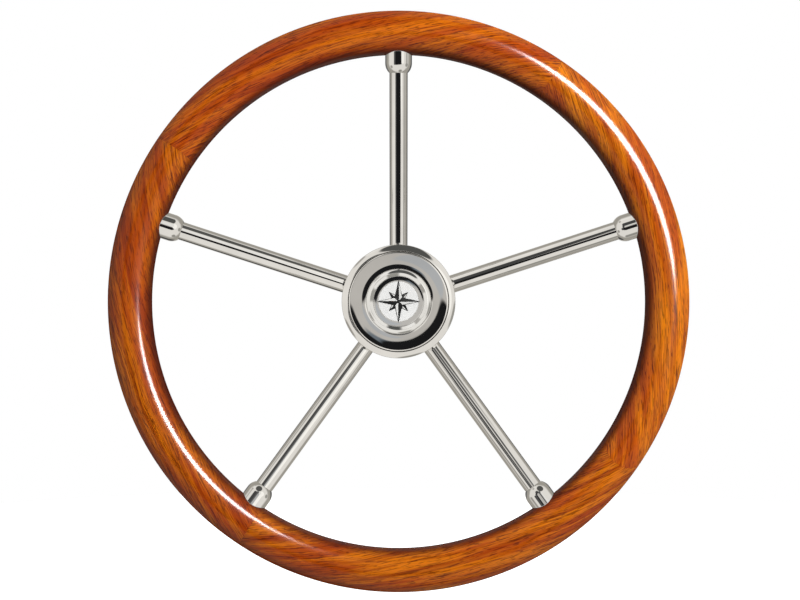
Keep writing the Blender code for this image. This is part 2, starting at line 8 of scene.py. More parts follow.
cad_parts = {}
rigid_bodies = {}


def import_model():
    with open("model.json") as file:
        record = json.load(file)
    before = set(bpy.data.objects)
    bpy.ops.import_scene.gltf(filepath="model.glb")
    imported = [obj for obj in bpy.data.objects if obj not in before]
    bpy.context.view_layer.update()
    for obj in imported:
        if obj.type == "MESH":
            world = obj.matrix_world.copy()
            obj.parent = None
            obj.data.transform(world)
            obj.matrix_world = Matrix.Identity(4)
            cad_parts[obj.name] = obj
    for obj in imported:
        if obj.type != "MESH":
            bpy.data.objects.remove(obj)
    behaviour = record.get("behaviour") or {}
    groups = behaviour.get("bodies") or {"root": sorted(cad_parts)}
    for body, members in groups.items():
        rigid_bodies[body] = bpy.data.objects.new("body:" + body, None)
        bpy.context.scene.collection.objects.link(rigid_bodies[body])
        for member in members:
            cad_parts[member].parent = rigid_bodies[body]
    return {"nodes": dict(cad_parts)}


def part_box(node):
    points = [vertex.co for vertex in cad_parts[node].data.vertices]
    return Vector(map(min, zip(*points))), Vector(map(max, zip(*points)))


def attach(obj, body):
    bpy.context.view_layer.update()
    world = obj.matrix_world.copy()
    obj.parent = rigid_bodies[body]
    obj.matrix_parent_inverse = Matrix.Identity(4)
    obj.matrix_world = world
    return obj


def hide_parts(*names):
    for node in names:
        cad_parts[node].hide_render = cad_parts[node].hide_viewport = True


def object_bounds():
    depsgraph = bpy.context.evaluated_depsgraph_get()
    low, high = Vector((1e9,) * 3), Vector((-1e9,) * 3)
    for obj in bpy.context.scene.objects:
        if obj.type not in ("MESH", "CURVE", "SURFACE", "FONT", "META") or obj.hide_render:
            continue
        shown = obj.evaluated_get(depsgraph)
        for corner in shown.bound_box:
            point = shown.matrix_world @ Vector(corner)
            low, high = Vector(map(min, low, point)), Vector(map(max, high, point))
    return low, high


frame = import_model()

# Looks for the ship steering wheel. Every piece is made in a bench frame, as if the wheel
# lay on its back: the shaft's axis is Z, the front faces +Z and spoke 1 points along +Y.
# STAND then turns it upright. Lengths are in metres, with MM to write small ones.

CAD_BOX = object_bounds()
MM = 0.001
STAND = Matrix.Rotation(math.radians(90), 4, "X")


# Sizes read from the frame. "Height" is the distance in front of the origin.

def half_width(node):
    low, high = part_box(node)
    return (high.x - low.x) / 2


def heights(node):
    """The node's lowest and highest height in the bench frame."""
    low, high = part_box(node)
    return -high.y, -low.y


RIM_BACK, RIM_FRONT = heights("rim_segment_1")
RIM_SECTION_RADIUS = (RIM_FRONT - RIM_BACK) / 2
RIM_HEIGHT = (RIM_FRONT + RIM_BACK) / 2
RIM_RADIUS = (CAD_BOX[1].x - CAD_BOX[0].x) / 2 - RIM_SECTION_RADIUS
SPOKE_TILT = math.atan2(RIM_HEIGHT, RIM_RADIUS)
SPOKE_RADIUS = half_width("spoke_1")
SPOKE_WALL = 1.5 * MM
SPOKE_COUNT = 5
FERRULE_RADIUS = half_width("spoke_ferrule_1")
HUB_RADIUS = half_width("hub_body")
HUB_SIDE_RADIUS = HUB_RADIUS - 1.5 * MM
HUB_BACK, HUB_FRONT = heights("hub_body")
COVER_RADIUS = half_width("hub_cover")
COVER_BACK, COVER_FRONT = heights("hub_cover")
CAP_RADIUS = half_width("centre_cap")
CAP_BACK, CAP_CREST = heights("centre_cap")
CAP_SHOULDER = COVER_BACK
CAVITY_RADIUS = 18.5 * MM
NUT_SEAT = heights("nut_washer")[0] - 0.3 * MM
DISC_RADIUS = half_width("emblem_disc")
DISC_BACK, DISC_FRONT = heights("emblem_disc")
COVE_START = 14.0 * MM  # where the emblem disc starts to curve up to its border
ROSE_TIP = half_width("compass_rose")
ROSE_BACK, ROSE_FRONT = heights("compass_rose")
SHAFT_BACK, SHAFT_FRONT = heights("helm_shaft")
THREAD_RADIUS = 6.35 * MM
THREAD_PITCH = 1.27 * MM
JOURNAL_RADIUS = 9.525 * MM
COLLAR_RADIUS = half_width("helm_shaft")
WASHER_RADIUS = half_width("nut_washer")
BUSH_RADIUS = half_width("bearing_bush")
BUSH_BACK, BUSH_FRONT = heights("bearing_bush")
FLANGE_RADIUS = half_width("bearing_flange")
FLANGE_BACK, FLANGE_FRONT = heights("bearing_flange")

RIM_JOINTS = ((34.0, 6.0), (123.0, 38.0), (213.0, 6.0), (304.0, 6.0))  # clock angle, scarf tilt
GLUE_LINE = 0.1 * MM
SEAM = 0.1 * MM  # clearance between fine pieces that touch


# Mesh helpers.

def clock_direction(angle):
    """The bench-frame direction at this angle, clockwise from spoke 1 as the helmsman sees it."""
    turn = math.radians(angle)
    return Vector((math.sin(turn), math.cos(turn), 0.0))


def spoke_matrix(number):
    """Puts a piece's Z axis along this spoke's axis, outwards, with its X axis towards the back."""
    flat = clock_direction(360 / SPOKE_COUNT * number)
    along = flat * math.cos(SPOKE_TILT) + Vector((0, 0, math.sin(SPOKE_TILT)))
    across = flat.cross(Vector((0, 0, 1))).normalized()
    return Matrix((along.cross(across), -across, along)).transposed().to_4x4()


def solid(name, points, normals, faces, flat=()):
    """A mesh with exact normals: each corner takes its point's, or its face's on flat faces."""
    mesh = bpy.data.meshes.new(name)
    mesh.from_pydata(points, [], faces)
    mesh.shade_smooth()
    if normals is None:
        mesh.set_sharp_from_angle(angle=math.radians(30))
        return mesh
    flat = set(flat)
    corner_normals = []
    for number, polygon in enumerate(mesh.polygons):
        for vertex in polygon.vertices:
            corner_normals.append(polygon.normal if number in flat else normals[vertex])
    mesh.normals_split_custom_set(corner_normals)
    return mesh


def arc_point(radius, height, arc_radius, angle):
    """A point of a lathe() outline on a circle, at this angle from outwards, with its normal."""
    out, up = math.cos(math.radians(angle)), math.sin(math.radians(angle))
    return radius + arc_radius * out, height + arc_radius * up, out, up


def shoulder_arc(radius, height, end_radius, slopes, steps):
    """A round shoulder of a lathe() outline from this point outwards, between two slopes."""
    first, last = (math.radians(slope) for slope in slopes)
    bend = (end_radius - radius) / (math.sin(last) - math.sin(first))
    centre = (radius - bend * math.sin(first), height - bend * math.cos(first))
    angles = [90 - slopes[0] + (slopes[0] - slopes[1]) * step / steps for step in range(steps + 1)]
    return [arc_point(*centre, bend, angle) for angle in angles]


def rounded(corners, closed=True):
    """An outline for lathe(), from (radius, height, fillet) corners that run down its outer side.

    Returns (radius, height, normal radius part, normal height part) for each point. The ends of
    an open outline only guide it, unless they lie on the axis.
    """
    places = [Vector(corner[:2]) for corner in corners]
    count = len(corners)
    outline = []
    for i, place in enumerate(places):
        if not closed and i in (0, count - 1):
            if place.x == 0.0:
                outline.append((*place, 0.0, 1.0 if i == 0 else -1.0))
            continue
        before = (place - places[i - 1]).normalized()
        after = (places[(i + 1) % count] - place).normalized()
        turn = math.atan2(before.cross(after), before.dot(after))
        side = math.copysign(1.0, turn)
        fillet = corners[i][2]
        start_normal = Vector((-before.y, before.x))
        start = place - before * fillet * math.tan(abs(turn) / 2)
        centre = start + start_normal * fillet * side
        steps = max(2, math.ceil(abs(turn) / math.radians(12 if fillet < MM else 5)))
        for step in range(steps + 1):
            normal = Matrix.Rotation(turn * step / steps, 2) @ start_normal
            outline.append((*(centre - normal * fillet * side), *normal))
    return outline


def lathe(name, outline, steps=128, closed=True, lift=None, warp=None, exact=True):
    """A body turned about Z from a rounded() outline.

    lift(x, y, height) says how far a point moves up and warp(radius, turn, height) gives a
    point's new radius. With exact the outline's own normals are kept.
    """
    points = []
    normals = []
    rings = []
    for radius, height, normal_out, normal_up in outline:
        if radius < 1e-7:
            rings.append([len(points)])
            points.append((0.0, 0.0, height))
            normals.append((0.0, 0.0, normal_up))
            continue
        rings.append(list(range(len(points), len(points) + steps)))
        for step in range(steps):
            turn = 2 * math.pi * step / steps
            out = warp(radius, turn, height) if warp else radius
            x, y = out * math.cos(turn), out * math.sin(turn)
            points.append((x, y, height + (lift(x, y, height) if lift else 0.0)))
            normals.append((normal_out * math.cos(turn), normal_out * math.sin(turn), normal_up))
    faces = []
    last = len(rings) if closed else len(rings) - 1
    for i in range(last):
        upper = rings[i]
        lower = rings[(i + 1) % len(rings)]
        for step in range(steps):
            after = (step + 1) % steps
            if len(upper) == 1:
                faces.append((upper[0], lower[step], lower[after]))
            elif len(lower) == 1:
                faces.append((upper[step], lower[0], upper[after]))
            else:
                faces.append((upper[step], lower[step], lower[after], upper[after]))
    return solid(name, points, normals if exact else None, faces)


def add_piece(name, mesh, materials, body, replaced, matrix=None):
    """Places a mesh given in the bench frame and ties it to its CAD body."""
    obj = bpy.data.objects.new(name, mesh)
    bpy.context.scene.collection.objects.link(obj)
    for material in materials:
        mesh.materials.append(material)
    obj.matrix_world = STAND @ (matrix or Matrix.Identity(4))
    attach(obj, body)
    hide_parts(*replaced)
    return obj


# Material helpers.

def add_node(tree, kind, values=None, **settings):
    """A node with its settings, and with its inputs set from values or linked to outputs."""
    node = tree.nodes.new(kind)
    for key, value in settings.items():
        setattr(node, key, value)
    for key, value in (values or {}).items():
        if isinstance(value, bpy.types.NodeSocket):
            tree.links.new(value, node.inputs[key])
        else:
            node.inputs[key].default_value = value
    return node


def math_node(tree, operation, first, second=0.0, third=0.0):
    values = {0: first, 1: second, 2: third}
    return add_node(tree, "ShaderNodeMath", values, operation=operation).outputs[0]


def vector_math(tree, operation, first, second=(0.0, 0.0, 0.0)):
    values = {0: first, 1: second}
    return add_node(tree, "ShaderNodeVectorMath", values, operation=operation).outputs[0]


def noise(tree, vector, scale, detail=2.0, roughness=0.5):
    values = {"Vector": vector, "Scale": scale, "Detail": detail, "Roughness": roughness}
    return add_node(tree, "ShaderNodeTexNoise", values).outputs["Fac"]


def map_range(tree, value, low, high, to_low=0.0, to_high=1.0, kind="SMOOTHSTEP"):
    values = {"Value": value, "From Min": low, "From Max": high, "To Min": to_low, "To Max": to_high}
    return add_node(tree, "ShaderNodeMapRange", values, interpolation_type=kind).outputs["Result"]


def mix_colour(tree, share, first, second, blend="MIX"):
    node = add_node(tree, "ShaderNodeMix", data_type="RGBA", blend_type=blend)
    for socket, value in ((node.inputs[0], share), (node.inputs[6], first), (node.inputs[7], second)):
        if isinstance(value, bpy.types.NodeSocket):
            tree.links.new(value, socket)
        else:
            socket.default_value = value
    return node.outputs[2]


def new_material(name):
    material = bpy.data.materials.new(name)
    material.use_nodes = True
    tree = material.node_tree
    return material, tree, tree.nodes["Principled BSDF"]


def object_coordinates(tree, offset=(0.0, 0.0, 0.0), stretch=(1.0, 1.0, 1.0), turn=(0.0, 0.0, 0.0)):
    values = {
        "Vector": add_node(tree, "ShaderNodeTexCoord").outputs["Object"],
        "Location": offset,
        "Rotation": turn,
        "Scale": stretch,
    }
    return add_node(tree, "ShaderNodeMapping", values).outputs[0]


def axis_distance(tree):
    """How far the point lies from the piece's Z axis, which is the shaft's on turned pieces."""
    flat = vector_math(tree, "MULTIPLY", object_coordinates(tree), (1.0, 1.0, 0.0))
    return add_node(tree, "ShaderNodeVectorMath", {0: flat}, operation="LENGTH").outputs["Value"]


# Materials.

GOLDEN = (0.78, 0.245, 0.008, 1.0)
ORANGE = (0.57, 0.115, 0.005, 1.0)
RED_BROWN = (0.30, 0.036, 0.004, 1.0)
# Dark brown for the veins and pores, and for the painted shade on the rim's inner side.
VEIN_AND_SHADE_BROWN = (0.060, 0.008, 0.003, 1.0)
WOOD_TONES = ((0.94, 0.96, 0.84), (0.83, 0.77, 0.74), (0.79, 0.68, 0.66), (0.80, 0.67, 0.68))
GRAIN_LEAN = (4.0, -3.0, -8.0, -9.0)
VARNISH_TINT = (0.97, 0.86, 0.62, 1.0)
INNER_SHADE_WIDTH = 0.32 * RIM_SECTION_RADIUS  # the painted shade on the rim's inner side fades out this far from it
GRAIN_BOW = 0.35  # how far the grain follows the rim: 0 is straight and 1 follows it fully


def stretched_noise(tree, vector, length, width, depth, detail=2.0, roughness=0.55):
    """Noise drawn out along X, the grain, and along Z, so that it lies in thin sheets."""
    scale = (1 / length, 1 / width, 1 / depth)
    return noise(tree, vector_math(tree, "MULTIPLY", vector, scale), 1.0, detail, roughness)


def varnished_wood(number, middle):
    """Varnished teak for one rim segment, its grain along the chord at this clock angle, with painted
    shade on its inner side.
    """
    material, tree, shader = new_material(f"varnished_teak_{number}")
    turn = (0.0, 0.0, math.radians(middle + GRAIN_LEAN[number - 1]))
    along = object_coordinates(tree, turn=turn)
    square = vector_math(tree, "MULTIPLY", along, along)
    reach = add_node(tree, "ShaderNodeSeparateXYZ", {"Vector": square}).outputs["X"]
    bow = math_node(tree, "MULTIPLY", reach, GRAIN_BOW / (2 * RIM_RADIUS))
    bend = add_node(tree, "ShaderNodeCombineXYZ", {"Y": bow}).outputs["Vector"]
    start = (0.37 * number, 0.11 * number, 0.023 * number)
    place = vector_math(tree, "ADD", vector_math(tree, "ADD", along, bend), start)

    sway = add_node(tree, "ShaderNodeTexNoise", {"Vector": place, "Scale": 13.0, "Detail": 1.0})
    centred = vector_math(tree, "SUBTRACT", sway.outputs["Color"], (0.5, 0.5, 0.5))
    warped = vector_math(tree, "ADD", place, vector_math(tree, "MULTIPLY", centred, (0.0, 0.008, 0.008)))

    patch = stretched_noise(tree, warped, 0.10, 0.013, 0.05)
    band = stretched_noise(tree, warped, 0.16, 0.0036, 0.03)
    line = stretched_noise(tree, warped, 0.10, 0.0015, 0.02)
    fibre = stretched_noise(tree, warped, 0.030, 0.0007, 0.008)

    colour = mix_colour(tree, map_range(tree, patch, 0.40, 0.60), GOLDEN, ORANGE)
    band_share = map_range(tree, band, 0.46, 0.66, 0.0, 0.5)
    colour = mix_colour(tree, band_share, colour, RED_BROWN)
    gold_share = map_range(tree, band, 0.30, 0.44, 0.6, 0.0)
    colour = mix_colour(tree, gold_share, colour, GOLDEN)
    line_share = map_range(tree, line, 0.53, 0.63, 0.0, 0.42)
    colour = mix_colour(tree, line_share, colour, RED_BROWN)
    fibre_share = map_range(tree, fibre, 0.50, 0.64, 0.0, 0.45)
    colour = mix_colour(tree, fibre_share, colour, RED_BROWN)

    vein = stretched_noise(tree, warped, 0.024, 0.0009, 0.010, 1.0)
    vein_share = map_range(tree, vein, 0.60, 0.67, 0.0, 0.6)
    colour = mix_colour(tree, vein_share, colour, VEIN_AND_SHADE_BROWN)
    pore = stretched_noise(tree, warped, 0.007, 0.0006, 0.003, 1.0)
    pore_share = map_range(tree, pore, 0.56, 0.65, 0.0, 0.6)
    colour = mix_colour(tree, pore_share, colour, VEIN_AND_SHADE_BROWN)
    colour = mix_colour(tree, 1.0, colour, (*WOOD_TONES[number - 1], 1.0), "MULTIPLY")
    # Painted shade: the colour turns dark brown towards the rim's inner side, standing in for the shade
    # on its inner flank.
    inner_side = RIM_RADIUS - RIM_SECTION_RADIUS
    painted_inner_shade = map_range(tree, axis_distance(tree), inner_side, inner_side + INNER_SHADE_WIDTH, 0.9, 0.0)
    colour = mix_colour(tree, painted_inner_shade, colour, VEIN_AND_SHADE_BROWN)
    tree.links.new(colour, shader.inputs["Base Color"])

    roughness = map_range(tree, fibre, 0.3, 0.7, 0.42, 0.58)
    tree.links.new(roughness, shader.inputs["Roughness"])
    grain_height = math_node(tree, "SUBTRACT", fibre, pore_share)
    bump = add_node(tree, "ShaderNodeBump", {"Strength": 0.2, "Distance": 0.0002, "Height": grain_height})
    tree.links.new(bump.outputs[0], shader.inputs["Normal"])

    varnish = noise(tree, place, 45.0, 1.0, 0.5)
    peel = add_node(tree, "ShaderNodeBump", {"Strength": 0.04, "Distance": 0.0002, "Height": varnish})
    tree.links.new(peel.outputs[0], shader.inputs["Coat Normal"])
    facing = add_node(tree, "ShaderNodeLayerWeight", {"Blend": 0.5}).outputs["Facing"]
    tree.links.new(map_range(tree, facing, 0.5, 0.85, 1.0, 0.0), shader.inputs["Coat Weight"])
    shader.inputs["Coat Roughness"].default_value = 0.16
    shader.inputs["Coat IOR"].default_value = 1.28
    shader.inputs["Coat Tint"].default_value = VARNISH_TINT
    shader.inputs["Specular IOR Level"].default_value = 0.0
    return material


def metal(name, colour, smooth, rough, grain_stretch, grain_scale, scratch_depth):
    """A bare metal: cloudy and brushed changes in gloss, faint stains and fine scratches."""
    material, tree, shader = new_material(name)
    place = object_coordinates(tree)
    cloud = noise(tree, place, 45.0, 3.0, 0.5)
    brushed = noise(tree, vector_math(tree, "MULTIPLY", place, grain_stretch), grain_scale, 3.0, 0.6)
    wear = math_node(tree, "MULTIPLY", math_node(tree, "ADD", cloud, brushed), 0.5)
    tree.links.new(map_range(tree, wear, 0.3, 0.7, smooth, rough), shader.inputs["Roughness"])
    stained = tuple(part * 0.93 for part in colour)
    tint = mix_colour(tree, map_range(tree, cloud, 0.35, 0.7), (*colour, 1.0), (*stained, 1.0))
    tree.links.new(tint, shader.inputs["Base Color"])
    bump_values = {"Strength": scratch_depth, "Distance": 0.0001, "Height": brushed}
    bump = add_node(tree, "ShaderNodeBump", bump_values)
    tree.links.new(bump.outputs[0], shader.inputs["Normal"])
    shader.inputs["Metallic"].default_value = 1.0
    return material


def emblem_silver():
    """Satin silver paint in the middle of the disc, polished metal round its curved border."""
    material = metal("emblem_silver", (0.86, 0.86, 0.85), 0.04, 0.07, EVEN, 1800.0, 0.02)
    tree = material.node_tree
    shader = tree.nodes["Principled BSDF"]
    blend = 0.1 * MM
    painted = map_range(tree, axis_distance(tree), COVE_START - blend, COVE_START + blend, 1.0, 0.0)
    polish = shader.inputs["Roughness"].links[0].from_socket
    roughness = math_node(tree, "ADD", polish, math_node(tree, "MULTIPLY", painted, 0.4))
    tree.links.new(roughness, shader.inputs["Roughness"])
    tree.links.new(map_range(tree, painted, 0.0, 1.0, 1.0, 0.15, "LINEAR"), shader.inputs["Metallic"])
    return material


def plastic(name, colour, smooth, rough, scale, depth):
    material, tree, shader = new_material(name)
    place = object_coordinates(tree)
    speckle = noise(tree, place, scale, 3.0, 0.6)
    tree.links.new(map_range(tree, speckle, 0.3, 0.7, smooth, rough), shader.inputs["Roughness"])
    darker = tuple(part * 0.8 for part in colour)
    tint = mix_colour(tree, map_range(tree, speckle, 0.3, 0.7), (*colour, 1.0), (*darker, 1.0))
    tree.links.new(tint, shader.inputs["Base Color"])
    bump = add_node(tree, "ShaderNodeBump", {"Strength": depth, "Distance": 0.0001, "Height": speckle})
    tree.links.new(bump.outputs[0], shader.inputs["Normal"])
    return material


LENGTHWISE = (1.0, 1.0, 0.03)
EVEN = (1.0, 1.0, 1.0)
MIRROR_STEEL = metal("mirror_steel", (0.82, 0.81, 0.79), 0.01, 0.05, EVEN, 240.0, 0.004)
TUBE_STEEL = metal("tube_steel", (0.82, 0.81, 0.79), 0.02, 0.07, LENGTHWISE, 1500.0, 0.006)
PLAIN_STEEL = metal("plain_steel", (0.52, 0.52, 0.51), 0.25, 0.42, (1.0, 1.0, 12.0), 700.0, 0.2)
CHROME = metal("chrome_cap", (0.86, 0.86, 0.85), 0.01, 0.04, EVEN, 240.0, 0.003)
EMBLEM_SILVER = emblem_silver()
BUSH_BRONZE = metal("bush_bronze", (0.55, 0.36, 0.14), 0.25, 0.4, (1.0, 1.0, 12.0), 600.0, 0.2)
ROSE_BLACK = plastic("rose_black", (0.012, 0.012, 0.013), 0.18, 0.3, 900.0, 0.1)
ROSE_WHITE = plastic("rose_white", (0.78, 0.78, 0.76), 0.2, 0.32, 900.0, 0.1)
SEAL_RUBBER = plastic("seal_rubber", (0.02, 0.02, 0.021), 0.55, 0.75, 1500.0, 0.4)


# The rim.

SECTION_STEPS = 72
SWEEP_STEPS = 144


def joint_shift(ring_radius, height, scarf_tilt, side):
    """How far clockwise of its joint a segment's end lies, as an angle in radians."""
    tilt = math.radians(scarf_tilt)
    return math.asin((height * math.sin(tilt) + side * GLUE_LINE / 2) / (ring_radius * math.cos(tilt)))


def rim_segment_mesh(name, start, end):
    """A quarter of the rim, between two scarf joints, in the bench frame."""
    (start_angle, start_tilt), (end_angle, end_tilt) = start, end
    sweep = math.radians((end_angle - start_angle) % 360)
    points = []
    normals = []
    faces = []
    for section_step in range(SECTION_STEPS):
        turn = 2 * math.pi * section_step / SECTION_STEPS
        ring_radius = RIM_RADIUS + RIM_SECTION_RADIUS * math.cos(turn)
        height = RIM_SECTION_RADIUS * math.sin(turn)
        first = joint_shift(ring_radius, height, start_tilt, 1)
        last = sweep + joint_shift(ring_radius, height, end_tilt, -1)
        for sweep_step in range(SWEEP_STEPS + 1):
            angle = math.degrees(first + (last - first) * sweep_step / SWEEP_STEPS)
            outwards = clock_direction(start_angle + angle)
            points.append(outwards * ring_radius + Vector((0, 0, RIM_HEIGHT + height)))
            normals.append(outwards * math.cos(turn) + Vector((0, 0, math.sin(turn))))
    row = SWEEP_STEPS + 1
    for section_step in range(SECTION_STEPS):
        here = section_step * row
        beyond = (section_step + 1) % SECTION_STEPS * row
        for sweep_step in range(SWEEP_STEPS):
            a = here + sweep_step
            b = beyond + sweep_step
            faces.append((a, b, b + 1, a + 1))
    ends = len(faces)
    faces.append(tuple(row * i for i in range(SECTION_STEPS))[::-1])
    faces.append(tuple(row * i + SWEEP_STEPS for i in range(SECTION_STEPS)))
    return solid(name, points, normals, faces, flat=(ends, ends + 1))


def make_rim():
    for number, start in enumerate(RIM_JOINTS, start=1):
        end = RIM_JOINTS[number % len(RIM_JOINTS)]
        middle = start[0] + ((end[0] - start[0]) % 360) / 2
        name = f"rim_wood_{number}"
        mesh = rim_segment_mesh(name, start, end)
        wood = varnished_wood(number, middle)
        piece = add_piece(name, mesh, [wood], "wheel", [f"rim_segment_{number}"])
        piece.visible_glossy = False  # the steel mirrors only the studio


# Spokes and ferrules.

RIM_CENTRE = math.hypot(RIM_RADIUS, RIM_HEIGHT)  # along a spoke's axis from the origin
RIM_FACE = RIM_CENTRE - RIM_SECTION_RADIUS
FERRULE_SHOULDER = RIM_FACE - 5.5 * MM
FERRULE_SEAT = FERRULE_SHOULDER - 1.5 * MM
SPOKE_ROOT = 22.4 * MM


def rim_surface(across_back, across_side):
    """How far along a spoke's axis the rim's wood is met, at this place across the axis."""
    matrix = spoke_matrix(0)
    low = RIM_FACE - 5 * MM
    high = RIM_CENTRE
    for _ in range(30):
        middle = (low + high) / 2
        point = matrix @ Vector((across_back, across_side, middle))
        from_ring = math.hypot(point.xy.length - RIM_RADIUS, point.z - RIM_HEIGHT)
        if from_ring > RIM_SECTION_RADIUS + SEAM / 2:
            low = middle
        else:
            high = middle
    return low


def ferrule_mesh():
    """The cup between a spoke and the rim: a cylinder with a round shoulder and a rolled lip."""
    socket = SPOKE_RADIUS + SEAM / 2
    stud_hole = 3.3 * MM
    roll = 0.2 * MM
    lip_turn = math.degrees(math.acos((socket + roll) / (FERRULE_RADIUS - roll)))
    outline = rounded([
        (stud_hole, FERRULE_SEAT, 0.0),
        (stud_hole, RIM_FACE, 0.1 * MM),
        (FERRULE_RADIUS, RIM_FACE, 0.25 * MM),
        (FERRULE_RADIUS, FERRULE_SHOULDER, 0.0),
    ], closed=False)
    shoulder_steps = 24
    for step in range(shoulder_steps + 1):
        angle = -lip_turn * step / shoulder_steps
        outline.append(arc_point(0.0, FERRULE_SHOULDER, FERRULE_RADIUS, angle))
    roll_place = arc_point(0.0, FERRULE_SHOULDER, FERRULE_RADIUS - roll, -lip_turn)
    roll_steps = 8
    for step in range(1, roll_steps + 1):
        angle = -lip_turn - (180 - lip_turn) * step / roll_steps
        outline.append(arc_point(roll_place[0], roll_place[1], roll, angle))
    outline += rounded([
        (socket, roll_place[1], 0.0),
        (socket, FERRULE_SEAT, 0.2 * MM),
        (stud_hole, FERRULE_SEAT, 0.1 * MM),
        (stud_hole, RIM_FACE, 0.0),
    ], closed=False)

    def lift(across_back, across_side, height):
        share = max(0.0, (height - FERRULE_SHOULDER) / (RIM_FACE - FERRULE_SHOULDER))
        return (rim_surface(across_back, across_side) - RIM_FACE) * share if share else 0.0

    return lathe("ferrule", outline, 96, lift=lift)


def tube_mesh():
    inside = SPOKE_RADIUS - SPOKE_WALL
    end = FERRULE_SEAT - SEAM
    corners = [
        (inside, end, 0.1 * MM),
        (SPOKE_RADIUS, end, 0.1 * MM),
        (SPOKE_RADIUS, SPOKE_ROOT, 0.1 * MM),
        (inside, SPOKE_ROOT, 0.1 * MM),
    ]
    return lathe("spoke_tube", rounded(corners), 96)


def make_spokes():
    tube = tube_mesh()
    cup = ferrule_mesh()
    weld = weld_mesh()
    for number in range(1, SPOKE_COUNT + 1):
        place = spoke_matrix(number - 1)
        replaced = [f"spoke_{number}"]
        name = f"spoke_tube_{number}"
        add_piece(name, tube.copy(), [TUBE_STEEL], "wheel", replaced, place)
        name = f"spoke_weld_{number}"
        add_piece(name, weld.copy(), [MIRROR_STEEL], "wheel", replaced, place)
        name = f"ferrule_cup_{number}"
        replaced = [f"spoke_ferrule_{number}"]
        add_piece(name, cup.copy(), [MIRROR_STEEL], "wheel", replaced, place)


# The hub, its cover and the cap.

def make_hub():
    lip_inside = COVER_RADIUS + 0.3 * MM
    lip_slopes = (17.0, 39.0)
    lip_edge = 0.7 * MM
    corner = 0.12 * MM
    underside = 14.7 * MM
    floor = COVER_BACK - 0.3 * MM
    side_bottom = -3.0 * MM
    boss = 17.5 * MM
    bore_back = JOURNAL_RADIUS + SEAM / 2
    bore_front = bore_back - (NUT_SEAT - HUB_BACK) / 24
    edge_start = HUB_RADIUS - lip_edge * (1 - math.sin(math.radians(lip_slopes[1])))
    corner_end = lip_inside + corner * (1 + math.sin(math.radians(lip_slopes[0])))
    outline = shoulder_arc(lip_inside, HUB_FRONT - corner, corner_end, (-90.0, lip_slopes[0]), 8)
    outline += shoulder_arc(*outline[-1][:2], edge_start, lip_slopes, 40)[1:]
    outline += shoulder_arc(*outline[-1][:2], HUB_RADIUS, (lip_slopes[1], 90.0), 10)[1:]
    outline += rounded([
        (*outline[-1][:2], 0.0),
        (HUB_RADIUS, underside, 0.3 * MM),
        (HUB_SIDE_RADIUS, underside, 0.3 * MM),
        (HUB_SIDE_RADIUS, side_bottom, 1.5 * MM),
        (boss, side_bottom, 11.0 * MM),
        (boss, HUB_BACK, 0.8 * MM),
        (bore_back, HUB_BACK, 0.3 * MM),
        (bore_front, NUT_SEAT, 0.1 * MM),
        (CAVITY_RADIUS, NUT_SEAT, 0.5 * MM),
        (CAVITY_RADIUS, floor, 0.3 * MM),
        (lip_inside, floor, 0.2 * MM),
        (lip_inside, HUB_FRONT, 0.0),
    ], closed=False)
    mesh = lathe("hub_shell", outline, 192)
    add_piece("hub_shell", mesh, [MIRROR_STEEL], "wheel", ["hub_body"])


def weld_mesh():
    """The fillet weld round a spoke where it enters the hub's side."""
    inside = SPOKE_RADIUS + SEAM / 2
    fillet = 1.0 * MM
    outline = rounded([
        (inside, fillet + 0.1 * MM, 0.05 * MM),
        (inside + 0.1 * MM, fillet, 0.05 * MM),
        (inside + 0.15 * MM, 0.05 * MM, fillet * 0.8),
        (inside + fillet + 0.1 * MM, 0.0, 0.05 * MM),
        (inside + fillet + 0.1 * MM, -0.5 * MM, 0.05 * MM),
        (inside, -0.5 * MM, 0.05 * MM),
    ])

    def lift(across_back, across_side, height):
        wall = math.sqrt(HUB_SIDE_RADIUS**2 - across_side**2)
        return (wall - across_back * math.sin(SPOKE_TILT)) / math.cos(SPOKE_TILT)

    return lathe("spoke_weld", outline, 96, lift=lift)


def make_cover():
    """The ring round the cap: its inner edge rolls down to the cap and its face is crowned."""
    hole = CAP_RADIUS + 0.3 * MM
    roll_start = 27.0 * MM
    roll_slope = 9.5
    crown_start = 27.6 * MM
    crown_slope = 5.5
    edge = 1.5 * MM
    edge_slope = 70.0
    edge_width = edge * (math.sin(math.radians(edge_slope)) - math.sin(math.radians(crown_slope)))
    crown_end = COVER_RADIUS - edge_width
    hole_edge = 0.15 * MM
    roll_end = hole + hole_edge * (1 - math.sin(math.radians(roll_slope)))
    roll = shoulder_arc(roll_start, COVER_FRONT, roll_end, (0.0, -roll_slope), 16)[::-1]
    outline = shoulder_arc(*roll[0][:2], hole, (-roll_slope, -90.0), 6)[:0:-1]
    outline += roll
    outline += shoulder_arc(crown_start, COVER_FRONT, crown_end, (0.0, crown_slope), 30)
    outline += shoulder_arc(*outline[-1][:2], COVER_RADIUS, (crown_slope, edge_slope), 12)[1:]
    outline += rounded([
        (COVER_RADIUS - edge, outline[-1][1] + edge, 0.0),
        (COVER_RADIUS, outline[-1][1] - 0.1 * MM, 0.1 * MM),
        (COVER_RADIUS, COVER_BACK, 0.2 * MM),
        (hole, COVER_BACK, 0.2 * MM),
        (*outline[0][:2], 0.0),
    ], closed=False)
    mesh = lathe("cover_ring", outline, 192)
    add_piece("cover_ring", mesh, [MIRROR_STEEL], "wheel", ["hub_cover"])


